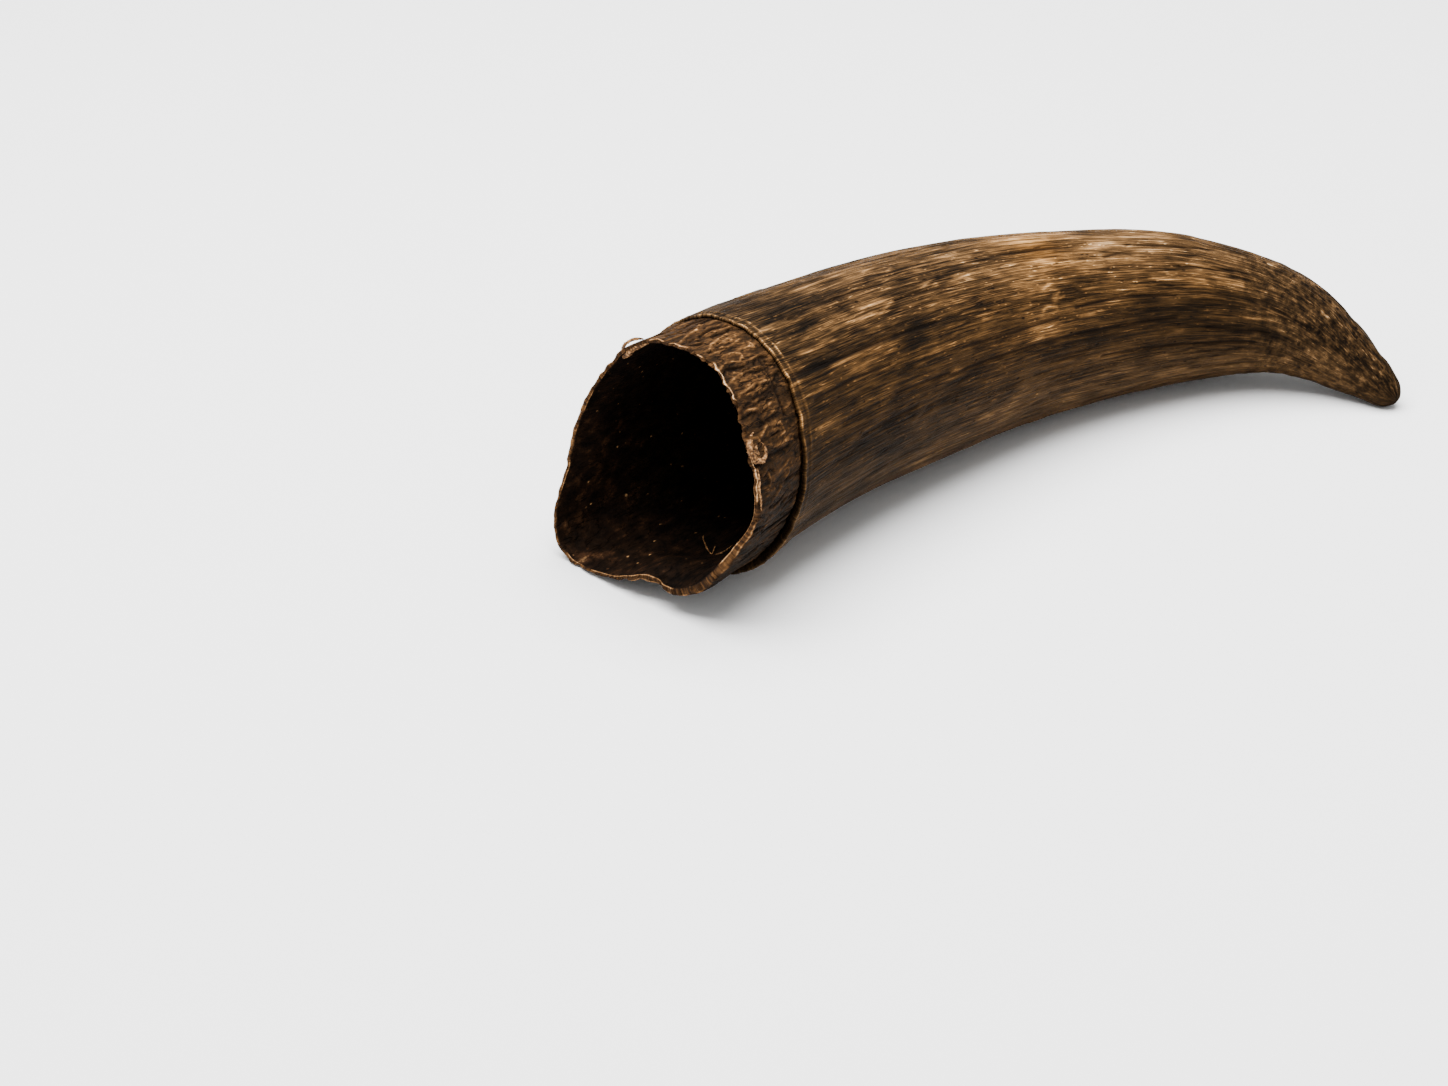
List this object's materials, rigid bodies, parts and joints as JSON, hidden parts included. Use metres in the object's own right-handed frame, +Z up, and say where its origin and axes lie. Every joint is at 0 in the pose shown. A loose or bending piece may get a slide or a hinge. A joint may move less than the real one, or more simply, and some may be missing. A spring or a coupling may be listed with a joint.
{
  "type": "cow horn",
  "caption": "Weathered cow horn: a curved, tapering keratin sheath with an open hollow mouth, a bare collar behind the rim and a solid tip.",
  "frame": {"origin": "on the table plane, under the middle of the horn's bounding box, with the horn lying on its underside", "axes": "+X from the open mouth toward the far end, +Y toward the outside of the curve, +Z up from the table"},
  "size_m": [0.325, 0.1404, 0.0872],
  "materials": {
    "horn": "dull weathered keratin with lengthwise fibres"
  },
  "bodies": {
    "root": {"horn": "horn"}
  },
  "joints": []
}
